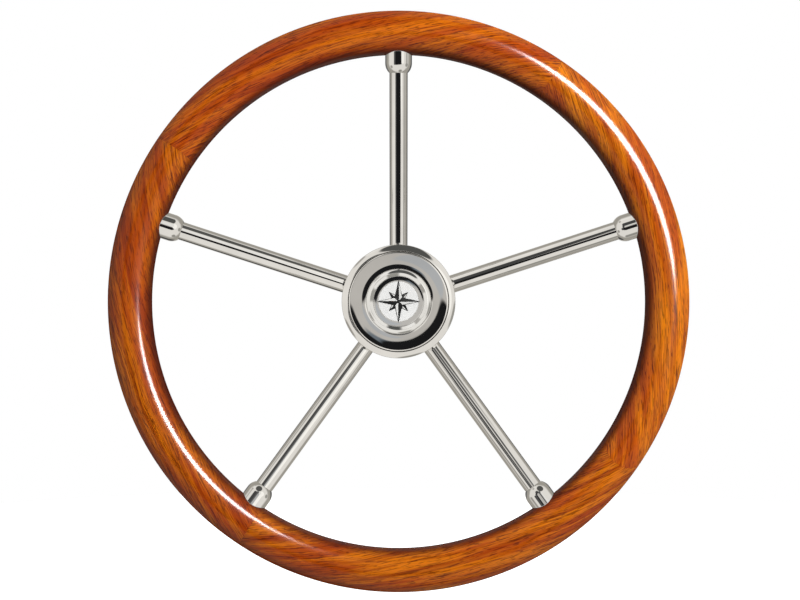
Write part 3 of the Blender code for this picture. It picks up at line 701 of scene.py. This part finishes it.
def make_cap():
    floor = DISC_BACK - 0.1 * MM
    recess = DISC_RADIUS + 0.3 * MM
    crest = 20.0 * MM
    crest_round = 0.12 * MM
    shoulder_slopes = (20.0, 45.0)
    edge = 0.3 * MM
    spigot = CAVITY_RADIUS - 0.3 * MM
    spigot_bore = 14.5 * MM
    groove = 1.1 * MM
    seal_radius = 17.3 * MM
    seal_height = 12.0 * MM
    edge_start = CAP_RADIUS - edge * (1 - math.sin(math.radians(shoulder_slopes[1])))
    shoulder = shoulder_arc(crest, CAP_CREST, edge_start, shoulder_slopes, 32)
    first = math.radians(shoulder_slopes[0])
    outline = rounded([
        (0.0, floor, 0.0),
        (recess, floor, 0.1 * MM),
        (recess, floor + 1.2 * MM, 0.08 * MM),
        (crest, CAP_CREST, crest_round),
        (crest + math.cos(first) * MM, CAP_CREST - math.sin(first) * MM, 0.0),
    ], closed=False)
    outline += [point for point in shoulder if point[0] > outline[-1][0] + 0.02 * MM]
    outline += shoulder_arc(*outline[-1][:2], CAP_RADIUS, (shoulder_slopes[1], 90.0), 8)[1:]
    outline += rounded([
        (*outline[-1][:2], 0.0),
        (CAP_RADIUS, CAP_SHOULDER, 0.2 * MM),
        (spigot, CAP_SHOULDER, 0.2 * MM),
        (spigot, seal_height + groove, 0.1 * MM),
        (seal_radius - groove, seal_height + groove, 0.1 * MM),
        (seal_radius - groove, seal_height - groove, 0.1 * MM),
        (spigot, seal_height - groove, 0.1 * MM),
        (spigot, CAP_BACK, 0.5 * MM),
        (spigot_bore, CAP_BACK, 0.2 * MM),
        (spigot_bore, floor - 2.9 * MM, 0.3 * MM),
        (0.0, floor - 2.9 * MM, 0.0),
    ], closed=False)
    mesh = lathe("cap_shell", outline, 192, closed=False)
    add_piece("cap_shell", mesh, [CHROME], "cap", ["centre_cap"])

    section = [arc_point(seal_radius, seal_height, 0.8 * MM, -360 * i / 32) for i in range(32)]
    mesh = lathe("seal_ring", section, 128)
    add_piece("seal_ring", mesh, [SEAL_RUBBER], "cap", ["cap_seal"])


def make_emblem():
    cove_rise = 0.25 * MM
    run = DISC_RADIUS - COVE_START
    turn_radius = (run**2 + cove_rise**2) / (2 * cove_rise)
    steps = 20
    top = [(0.0, DISC_FRONT, 0.0, 1.0)]
    for step in range(steps + 1):
        out = (run - 0.1 * MM) * step / steps
        slope = math.asin(out / turn_radius)
        rise = turn_radius * (1 - math.cos(slope))
        top.append((COVE_START + out, DISC_FRONT + rise, -math.sin(slope), math.cos(slope)))
    edge = rounded([
        top[-1][:2] + (0.0,),
        (DISC_RADIUS, DISC_FRONT + cove_rise, 0.05 * MM),
        (DISC_RADIUS, DISC_BACK, 0.1 * MM),
        (0.0, DISC_BACK, 0.0),
    ], closed=False)
    mesh = lathe("emblem_plate", top + edge, 192, closed=False)
    add_piece("emblem_plate", mesh, [EMBLEM_SILVER], "cap", ["emblem_disc"])


def star_crossing(tip, waist, other_tip, other_waist):
    """Where a star's edge meets that of a second one turned by 45 degrees, as radius and angle."""
    diagonal = math.sqrt(0.5)
    start = Vector((tip, 0))
    run = Vector((waist, waist)) * diagonal - start
    other_start = Vector((other_waist, 0))
    other_run = Vector((other_tip, other_tip)) * diagonal - other_start
    between = other_start - start
    crossing = start + run * (between.cross(other_run) / run.cross(other_run))
    return crossing.length, math.degrees(math.atan2(crossing.y, crossing.x))


def plate(name, outlines, low, high, bevel):
    """Flat plates from outlines, each with a small chamfer round its front edge."""
    shape = bmesh.new()
    for outline in outlines:
        bottom = [shape.verts.new((corner.x, corner.y, low)) for corner in outline]
        top = [shape.verts.new((corner.x, corner.y, high)) for corner in outline]
        shape.faces.new(top)
        shape.faces.new(bottom[::-1])
        for i, corner in enumerate(bottom):
            after = (i + 1) % len(bottom)
            shape.faces.new((top[after], top[i], corner, bottom[after]))
    bmesh.ops.recalc_face_normals(shape, faces=shape.faces)
    rim = [edge for edge in shape.edges if all(abs(v.co.z - high) < 1e-6 for v in edge.verts)]
    bmesh.ops.bevel(shape, geom=rim, offset=bevel, segments=2, affect="EDGES", profile=0.5)
    mesh = bpy.data.meshes.new(name)
    shape.to_mesh(mesh)
    shape.free()
    mesh.shade_smooth()
    mesh.set_sharp_from_angle(angle=math.radians(30))
    return mesh


def make_rose():
    """A plain eight-point compass rose: black points, each white on its clockwise half."""
    tip = ROSE_TIP
    short_tip = tip * 5 / 8
    waist = tip / 4
    radius, angle = star_crossing(tip, waist, short_tip, waist)
    base_top = ROSE_FRONT - 0.15 * MM
    border = 0.32 * MM
    star = []
    inlays = []
    for quarter in range(4):
        base = 90 * quarter
        star.append(clock_direction(base) * tip)
        star.append(clock_direction(base + angle) * radius)
        star.append(clock_direction(base + 45) * short_tip)
        star.append(clock_direction(base + 90 - angle) * radius)
        notch = clock_direction(base + 45) * waist
        inlays.append(inset([star[-4], notch, Vector((0, 0, 0))], border))
        inlays.append(inset([star[-2], star[-1], notch], border))
    mesh = plate("rose_base", [star], ROSE_BACK, base_top, 0.06 * MM)
    add_piece("rose_base", mesh, [ROSE_BLACK], "cap", ["compass_rose"])
    mesh = plate("rose_inlay", inlays, base_top + 0.02 * MM, ROSE_FRONT, 0.03 * MM)
    add_piece("rose_inlay", mesh, [ROSE_WHITE], "cap", ["compass_rose"])


def inset(corners, border):
    """The outline moved inwards by a border, corners given clockwise as seen from the front."""
    count = len(corners)
    moved = []
    for i, corner in enumerate(corners):
        before = (corner - corners[i - 1]).xy.normalized()
        after = (corners[(i + 1) % count] - corner).xy.normalized()
        inward_before = Vector((before.y, -before.x))
        inward_after = Vector((after.y, -after.x))
        middle = (inward_before + inward_after).normalized()
        reach = border / max(0.15, middle.dot(inward_after))
        moved.append((corner.xy + middle * reach).to_3d())
    return moved


# The shaft and what holds the hub on it.

def turned_piece(name, outline, steps, warp, material, body, replaced, closed=True):
    mesh = lathe(name, outline, steps, closed=closed, warp=warp, exact=False)
    return add_piece(name, mesh, [material], body, replaced)


def make_shaft():
    chamfer = 0.8 * MM
    thread_start = NUT_SEAT - 0.3 * MM
    front_taper = JOURNAL_RADIUS - (thread_start - HUB_BACK) / 24
    collar_top = HUB_BACK - 0.6 * MM
    collar_bottom = collar_top - 2.4 * MM
    groove_top = BUSH_BACK - 0.3 * MM
    groove_bottom = groove_top - 1.8 * MM
    groove_radius = 8.9 * MM
    root = THREAD_RADIUS - 0.75 * MM
    front = [(0.0, SHAFT_FRONT, 0.0, 1.0), (THREAD_RADIUS - chamfer, SHAFT_FRONT, 0.0, 1.0)]
    rings_per_pitch = 8
    ring_count = int((SHAFT_FRONT - thread_start) / THREAD_PITCH * rings_per_pitch)
    thread = []
    for ring in range(1, ring_count):
        height = SHAFT_FRONT - ring * THREAD_PITCH / rings_per_pitch
        limit = min(THREAD_RADIUS, THREAD_RADIUS - chamfer + SHAFT_FRONT - height)
        thread.append((limit, height, 1.0, 0.0))
    back = rounded([
        (root, SHAFT_FRONT, 0.0),
        (root, thread_start, 0.1 * MM),
        (front_taper, thread_start, 0.3 * MM),
        (JOURNAL_RADIUS, HUB_BACK, 0.1 * MM),
        (JOURNAL_RADIUS, collar_top, 0.1 * MM),
        (COLLAR_RADIUS, collar_top, 0.3 * MM),
        (COLLAR_RADIUS, collar_bottom, 0.3 * MM),
        (JOURNAL_RADIUS, collar_bottom, 0.1 * MM),
        (JOURNAL_RADIUS, groove_top, 0.1 * MM),
        (groove_radius, groove_top, 0.1 * MM),
        (groove_radius, groove_bottom, 0.1 * MM),
        (JOURNAL_RADIUS, groove_bottom, 0.1 * MM),
        (JOURNAL_RADIUS, SHAFT_BACK, 0.8 * MM),
        (0.0, SHAFT_BACK, 0.0),
    ], closed=False)

    def thread_cut(radius, turn, height):
        if height < thread_start + 0.6 * MM or radius < root:
            return radius
        phase = (height / THREAD_PITCH - turn / (2 * math.pi)) % 1
        crest = THREAD_RADIUS - abs(phase * 2 - 1) * 0.75 * MM
        return min(radius, crest)

    turned_piece(
        "shaft_turned", front + thread + back, 96, thread_cut, PLAIN_STEEL, "wheel",
        ["helm_shaft"], closed=False,
    )


def make_nut():
    low, high = heights("shaft_nut")
    half_flats = 9.525 * MM
    corner = half_flats / math.cos(math.radians(30))
    hole = THREAD_RADIUS + 0.1 * MM
    rings = 10
    cone = []
    for ring in range(rings + 1):
        drop = 1.1 * MM * ring / rings
        cone.append((half_flats - 0.3 * MM + drop * 1.9, high - drop, 0.0, 1.0))
    outline = [
        (hole, high - 0.5 * MM, 0.0, 1.0),
        (hole + 0.5 * MM, high, 0.0, 1.0),
        *cone,
        (corner + MM, low + 0.1 * MM, 1.0, 0.0),
        (half_flats - 0.1 * MM, low, 0.0, -1.0),
        (hole + 0.5 * MM, low, 0.0, -1.0),
        (hole, low + 0.5 * MM, -1.0, 0.0),
    ]

    def hexagon(radius, turn, height):
        sixth = math.radians(60)
        return min(radius, half_flats / math.cos(turn % sixth - sixth / 2))

    turned_piece("hex_nut", outline, 192, hexagon, PLAIN_STEEL, "wheel", ["shaft_nut"])

    low, high = heights("nut_washer")
    edge = 0.15 * MM
    outline = rounded([
        (hole, high, edge),
        (WASHER_RADIUS, high, edge),
        (WASHER_RADIUS, low, edge),
        (hole, low, edge),
    ])
    mesh = lathe("plain_washer", outline, 128)
    add_piece("plain_washer", mesh, [PLAIN_STEEL], "wheel", ["nut_washer"])


def make_circlip():
    """A C-shaped clip with a round lug at each end of its mouth."""
    low, high = heights("shaft_circlip")
    inner, outer = 9.2 * MM, 12.4 * MM
    mouth = math.radians(24)
    lug_radius = (outer - inner) / 2
    lug_ring = inner + lug_radius
    steps = 64
    outline = []
    for step in range(steps + 1):
        turn = math.pi + mouth + (2 * math.pi - 2 * mouth) * step / steps
        outline.append(Vector((math.sin(turn), math.cos(turn), 0)) * outer)
    outline += lug_arc(math.pi - mouth, lug_ring, lug_radius, 1)
    for step in range(steps + 1):
        turn = math.pi - mouth - (2 * math.pi - 2 * mouth) * step / steps
        outline.append(Vector((math.sin(turn), math.cos(turn), 0)) * inner)
    outline += lug_arc(math.pi + mouth, lug_ring, lug_radius, -1)
    mesh = plate("circlip_ring", [outline[::-1]], low, high, 0.12 * MM)
    add_piece("circlip_ring", mesh, [PLAIN_STEEL], "wheel", ["shaft_circlip"])


def lug_arc(turn, ring, radius, side):
    """Half a circle round the end of the clip, without its two end points."""
    centre = Vector((math.sin(turn), math.cos(turn), 0)) * ring
    outwards = centre.normalized() * side
    along = Vector((outwards.y, -outwards.x, 0))
    steps = 10
    points = []
    for step in range(1, steps):
        swing = math.pi * step / steps
        points.append(centre + (outwards * math.cos(swing) + along * math.sin(swing)) * radius)
    return points


# The bearing.

def make_bearing():
    bore = JOURNAL_RADIUS + SEAM
    low, high = BUSH_BACK, BUSH_FRONT
    edge = 0.2 * MM
    body = 12.0 * MM
    outline = rounded([
        (bore, high, 0.4 * MM),
        (BUSH_RADIUS, high, edge),
        (BUSH_RADIUS, high - 1.5 * MM, edge),
        (body, high - 1.5 * MM, edge),
        (body, low, 0.4 * MM),
        (bore, low, 0.4 * MM),
    ])
    mesh = lathe("flanged_bush", outline, 128)
    add_piece("flanged_bush", mesh, [BUSH_BRONZE], "helm_bearing", ["bearing_bush"])

    sleeve = 17.0 * MM
    recess = 15.0 * MM
    plate_front = FLANGE_BACK + 6.0 * MM
    housing = body + 0.1 * MM
    outline = rounded([
        (housing, FLANGE_FRONT, 0.4 * MM),
        (sleeve, FLANGE_FRONT, 0.8 * MM),
        (sleeve, plate_front, 4.0 * MM),
        (FLANGE_RADIUS, plate_front, 1.0 * MM),
        (FLANGE_RADIUS, FLANGE_BACK, 0.3 * MM),
        (recess, FLANGE_BACK, 0.5 * MM),
        (recess, plate_front, 0.5 * MM),
        (housing, plate_front, 0.3 * MM),
    ])
    mesh = lathe("flange_casting", outline, 128, exact=False)
    hole, sink = 2.75 * MM, 5.2 * MM
    over = 2.0 * MM
    thickness = plate_front - FLANGE_BACK
    hole_outline = [
        (0.0, over, 0.0, 1.0),
        (sink + 0.1 * MM, over, 1.0, 0.0),
        (sink + 0.1 * MM, 0.1 * MM, 1.0, 0.0),
        (hole, hole - sink, 1.0, 0.0),
        (hole, -thickness - over, 0.0, -1.0),
        (0.0, -thickness - over, 0.0, -1.0),
    ]
    cutters = []
    for number in range(4):
        centre = clock_direction(45 + 90 * number) * 23.0 * MM
        cutter = lathe("screw_hole", hole_outline, 48, closed=False, exact=False)
        cutter.transform(Matrix.Translation((centre.x, centre.y, plate_front)))
        cutters.append(cutter)
    mesh = carved("flange_casting", mesh, cutters)
    piece = add_piece(
        "flange_casting", mesh, [PLAIN_STEEL], "helm_bearing", ["bearing_flange"]
    )
    return piece


def carved(name, mesh, cutters):
    """The mesh with the cutters taken out of it, shaded smooth with sharp edges."""
    body = bpy.data.objects.new(name, mesh)
    scene = bpy.context.scene.collection
    scene.objects.link(body)
    helpers = [body]
    for cutter in cutters:
        helper = bpy.data.objects.new("cutter", cutter)
        scene.objects.link(helper)
        helpers.append(helper)
        cut = body.modifiers.new("cut", "BOOLEAN")
        cut.operation = "DIFFERENCE"
        cut.solver = "EXACT"
        cut.object = helper
    bpy.context.view_layer.update()
    graph = bpy.context.evaluated_depsgraph_get()
    result = bpy.data.meshes.new_from_object(body.evaluated_get(graph))
    for helper in helpers:
        bpy.data.objects.remove(helper)
    result.shade_smooth()
    result.set_sharp_from_angle(angle=math.radians(30))
    return result


def dress_hidden_nodes():
    """The studs and the key stay as the CAD has them, deep inside other pieces."""
    hidden = [f"rim_stud_{number + 1}" for number in range(SPOKE_COUNT)] + ["shaft_key"]
    for name in hidden:
        node = frame["nodes"][name]
        node.data.materials.clear()
        node.data.materials.append(PLAIN_STEEL)


# The studio.

def direction(clock, off_axis):
    """The world direction this far round the clock and off the line from the wheel to the camera."""
    flat = clock_direction(clock) * math.sin(math.radians(off_axis))
    return STAND @ (flat + Vector((0, 0, math.cos(math.radians(off_axis)))))


WHITE = (1.0, 1.0, 1.0, 1.0)
SURROUND = (0.90, 0.875, 0.83, 1.0)
BEHIND = (0.40, 0.38, 0.34, 1.0)
BLACK = (0.012, 0.012, 0.013, 1.0)

# What the polished parts see: clock angle, angle off the camera's line, radius, soft edge (all in
# degrees) and colour. Later patches lie over earlier ones.
PATCHES = (
    (0, 180, 88, 24, BEHIND),
    (0, 180, 30, 10, (0.62, 0.60, 0.56, 1.0)),
    (90, 150, 22, 8, (0.10, 0.10, 0.10, 1.0)),
    (270, 146, 20, 8, (0.16, 0.16, 0.16, 1.0)),
    (200, 132, 16, 8, (0.08, 0.08, 0.08, 1.0)),
    (104, 78, 13, 8, (0.38, 0.37, 0.34, 1.0)),
    (168, 80, 12, 8, (0.34, 0.33, 0.30, 1.0)),
    (241, 76, 10, 6, (0.40, 0.38, 0.35, 1.0)),
    (316, 76, 8, 6, (0.48, 0.46, 0.43, 1.0)),
    (9, 59, 25, 5, (0.10, 0.10, 0.095, 1.0)),
    (333, 78, 9, 5, (0.95, 0.93, 0.89, 1.0)),
    (0, 23, 11, 4, (0.13, 0.13, 0.13, 1.0)),
    (318, 32, 13, 4, (0.07, 0.07, 0.07, 1.0)),
    (285, 25, 9.5, 2, (0.06, 0.06, 0.06, 1.0)),
    (246, 34, 10, 4, (0.09, 0.09, 0.09, 1.0)),
    (232, 20, 12, 2, BLACK),
    (120, 20, 11, 2, BLACK),
    (76, 35, 20, 4, (1.15, 1.13, 1.08, 1.0)),
    (50, 24, 10, 3, (0.95, 0.94, 0.91, 1.0)),
    (0, 0, 13.5, 2, (0.57, 0.55, 0.52, 1.0)),
    (40, 8.5, 6.0, 1.5, (0.49, 0.505, 0.52, 1.0)),
    (195, 7.5, 4, 2, (0.17, 0.20, 0.23, 1.0)),
    (240, 15, 6.5, 1.5, BLACK),
    (218, 13, 5, 1.5, BLACK),
    (192, 17, 7, 2, BLACK),
    (146, 13.5, 11.4, 1.2, BLACK),
)


# The fill light on matt surfaces: clock angle, angle off the camera's line, the cosine where the
# glow begins, and its strength.
DIFFUSE_GLOWS = (
    (35, 50, 0.0, 0.28),
    (190, 60, 0.0, 0.40),
    (0, 165, 0.15, 0.9),
)


def make_world():
    world = bpy.data.worlds.new("studio")
    bpy.context.scene.world = world
    world.use_nodes = True
    tree = world.node_tree
    background = tree.nodes["Background"]
    look = add_node(tree, "ShaderNodeTexCoord").outputs["Generated"]
    colour = SURROUND
    for clock, off_axis, radius, soft, patch in PATCHES:
        centre = direction(clock, off_axis)
        aligned = add_node(
            tree, "ShaderNodeVectorMath", {0: look, 1: centre}, operation="DOT_PRODUCT"
        ).outputs["Value"]
        inner = math.cos(math.radians(max(0.5, radius - soft / 2)))
        outer = math.cos(math.radians(radius + soft / 2))
        colour = mix_colour(tree, map_range(tree, aligned, outer, inner), colour, patch)
    lit = 0.0
    for clock, off_axis, low, strength in DIFFUSE_GLOWS:
        aligned = add_node(
            tree, "ShaderNodeVectorMath", {0: look, 1: direction(clock, off_axis)},
            operation="DOT_PRODUCT",
        ).outputs["Value"]
        lit = math_node(tree, "ADD", lit, map_range(tree, aligned, low, 1.0, 0.0, strength))
    path = add_node(tree, "ShaderNodeLightPath").outputs
    colour = mix_colour(tree, path["Is Diffuse Ray"], colour, lit)
    colour = mix_colour(tree, path["Is Camera Ray"], colour, WHITE)
    tree.links.new(colour, background.inputs["Color"])


def area_light(name, clock, off_axis, distance, size, power, long_way=0.0, shines=True, glows=True):
    """A softbox facing the wheel. long_way is the clock angle that its longer side lies along.

    It shows up in gloss if it shines, and lights matt surfaces if it glows.
    """
    light = bpy.data.lights.new(name, "AREA")
    light.shape = "ELLIPSE"
    light.size, light.size_y = size
    light.energy = power
    obj = bpy.data.objects.new(name, light)
    bpy.context.scene.collection.objects.link(obj)
    outwards = direction(clock, off_axis)
    long_side = STAND @ clock_direction(long_way)
    short_side = long_side.cross(outwards).normalized()
    long_side = outwards.cross(short_side)
    axes = Matrix((short_side, long_side, outwards)).transposed().to_4x4()
    obj.matrix_world = Matrix.Translation(outwards * distance) @ axes
    obj.visible_camera = False
    obj.visible_glossy = shines
    obj.visible_diffuse = glows
    return obj


def make_lights():
    """The shining softbox lights only the rim; the others light matt surfaces only. The metal reflects
    the studio of make_world() instead.
    """
    varnished = bpy.data.collections.new("varnished")
    for obj in bpy.data.objects:
        if obj.name.startswith("rim_wood"):
            varnished.objects.link(obj)
    lights = [
        area_light("strip_shine", 56, 41, 0.72, (0.28, 0.52), 30.0, long_way=146, glows=False),
        area_light("strip_glow", 56, 39, 1.2, (0.5, 0.9), 14.6, long_way=146, shines=False),
        area_light("side_light", 322, 70, 3.0, (0.8, 0.8), 12.0, long_way=232, shines=False),
    ]
    lights[0].light_linking.receiver_collection = varnished


def make_floor():
    radius = 1.5
    steps = 96
    outline = [clock_direction(360 * i / steps) * radius for i in range(steps)]
    points = [(point.x, point.y, 0.0) for point in outline]
    mesh = bpy.data.meshes.new("studio_floor")
    mesh.from_pydata(points, [], [tuple(range(steps))[::-1]])
    material, tree, shader = new_material("pale_floor")
    place = add_node(tree, "ShaderNodeTexCoord").outputs["Object"]
    from_centre = add_node(tree, "ShaderNodeVectorMath", {0: place}, operation="LENGTH").outputs["Value"]
    speckle = noise(tree, place, 40.0, 3.0, 0.6)
    shade = mix_colour(tree, speckle, (0.83, 0.83, 0.82, 1.0), (0.80, 0.80, 0.79, 1.0))
    tree.links.new(shade, shader.inputs["Base Color"])
    shader.inputs["Roughness"].default_value = 0.9
    fade = map_range(tree, from_centre, 0.1 * radius, 0.42 * radius)
    tree.links.new(fade, shader.inputs["Emission Strength"])
    shader.inputs["Emission Color"].default_value = WHITE
    mesh.materials.append(material)
    floor = bpy.data.objects.new("studio_floor", mesh)
    bpy.context.scene.collection.objects.link(floor)
    floor.location = (0.0, 0.0, -0.36)
    floor.visible_glossy = False
    floor.visible_diffuse = False


def make_camera():
    distance = 0.9
    share_of_width = 0.7257
    camera = bpy.data.cameras.new("camera")
    camera.sensor_width = 36.0
    rim_distance = distance - RIM_HEIGHT
    view_width = 2 * (RIM_RADIUS + RIM_SECTION_RADIUS) / share_of_width
    camera.lens = camera.sensor_width * rim_distance / view_width
    camera.shift_x = 0.0018
    camera.shift_y = 0.0018
    camera.clip_end = 50.0
    obj = bpy.data.objects.new("camera", camera)
    bpy.context.scene.collection.objects.link(obj)
    obj.location = (0.0, -distance, 0.0)
    obj.rotation_euler = (math.radians(90), 0.0, 0.0)
    bpy.context.scene.camera = obj
    bpy.context.scene.view_settings.view_transform = "Standard"


make_rim()
make_spokes()
make_hub()
make_cover()
make_cap()
make_emblem()
make_rose()
make_shaft()
make_nut()
make_circlip()
make_bearing()
dress_hidden_nodes()
make_world()
make_lights()
make_floor()
make_camera()
